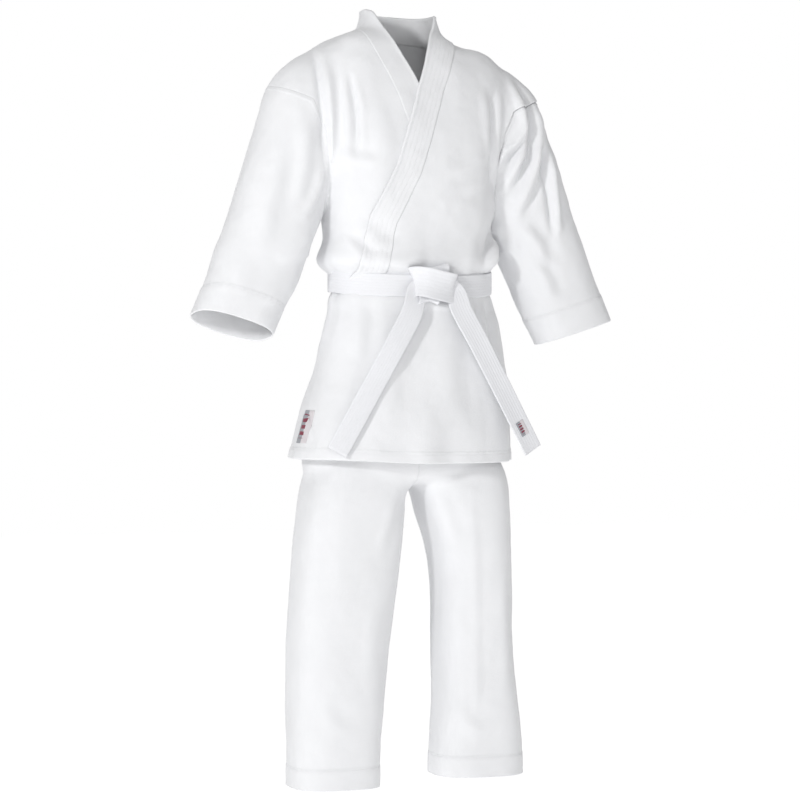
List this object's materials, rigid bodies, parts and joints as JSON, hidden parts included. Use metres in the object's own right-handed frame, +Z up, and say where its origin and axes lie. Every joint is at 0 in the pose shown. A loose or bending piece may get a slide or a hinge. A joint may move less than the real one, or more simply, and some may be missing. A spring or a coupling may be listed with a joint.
{
  "type": "martial arts uniform",
  "caption": "White cotton martial arts uniform as worn: a crossover jacket with wide sleeves, tied with a knotted belt, over loose straight trousers.",
  "frame": {"origin": "middle of the neck opening, level with the foot of the collar", "axes": "+Z up, the front faces -Y, and -X is the wearer's right"},
  "size_m": [0.7914, 0.2675, 1.4],
  "materials": {
    "canvas": "matt bleached cotton canvas with a fine plain weave",
    "facing": "matt cotton twill used for facings, tapes and the elastic",
    "webbing": "thick stitched cotton belt with long rows of stitching",
    "label": "satin woven label in grey with plain maroon bars"
  },
  "bodies": {
    "jacket": {"right_front_panel": "canvas", "left_front_panel": "canvas", "right_lapel_band": "canvas", "left_lapel_band": "canvas", "right_back_panel": "canvas", "left_back_panel": "canvas", "right_yoke": "canvas", "left_yoke": "canvas", "collar_band": "canvas", "front_hem_facing": "facing", "neck_label": "label", "jacket_label": "label", "outer_tie": "facing", "inner_tie": "facing", "belt_inner_wrap": "webbing", "belt_outer_wrap": "webbing", "knot_loop": "webbing", "knot_band": "webbing"},
    "back_flap": {"right_back_skirt": "canvas", "left_back_skirt": "canvas", "back_hem_facing": "facing"},
    "right_arm": {"right_sleeve": "canvas", "right_cuff_hem": "canvas"},
    "left_arm": {"left_sleeve": "canvas", "left_cuff_hem": "canvas"},
    "right_tail": {"right_belt_tail": "webbing"},
    "left_tail": {"left_belt_tail": "webbing", "belt_label": "label"},
    "trousers": {"right_hip_panel": "canvas", "left_hip_panel": "canvas", "waistband": "canvas", "waist_elastic": "facing", "crotch_gusset": "canvas"},
    "right_trouser_leg": {"right_leg": "canvas", "right_leg_hem": "canvas"},
    "left_trouser_leg": {"left_leg": "canvas", "left_leg_hem": "canvas"}
  },
  "joints": [
    {"name": "right_sleeve_raise", "type": "hinge", "parent": "jacket", "child": "right_arm", "pos_m": [-0.19, 0, -0.15], "axis": [0, 1, 0], "range_deg": [0, 60]},
    {"name": "left_sleeve_raise", "type": "hinge", "parent": "jacket", "child": "left_arm", "pos_m": [0.19, 0, -0.15], "axis": [0, -1, 0], "range_deg": [0, 60]},
    {"name": "right_tail_lift", "type": "hinge", "parent": "jacket", "child": "right_tail", "pos_m": [-0.017, -0.1349, -0.489], "axis": [-0.8746, 0, 0.4848], "range_deg": [0, 75]},
    {"name": "left_tail_lift", "type": "hinge", "parent": "jacket", "child": "left_tail", "pos_m": [0.059, -0.1349, -0.489], "axis": [-0.8746, 0, -0.4848], "range_deg": [0, 75]},
    {"name": "back_flap_lift", "type": "hinge", "parent": "jacket", "child": "back_flap", "pos_m": [0, 0.099, -0.477], "axis": [1, 0, 0], "range_deg": [0, 10]},
    {"name": "trousers_drop", "type": "slide", "parent": "jacket", "child": "trousers", "axis": [0, 0, -1], "range_m": [0, 0.4]},
    {"name": "right_leg_swing", "type": "hinge", "parent": "trousers", "child": "right_trouser_leg", "pos_m": [-0.105, 0, -0.85], "axis": [-1, 0, 0], "range_deg": [-15, 15]},
    {"name": "left_leg_swing", "type": "hinge", "parent": "trousers", "child": "left_trouser_leg", "pos_m": [0.105, 0, -0.85], "axis": [-1, 0, 0], "range_deg": [-15, 15]}
  ]
}
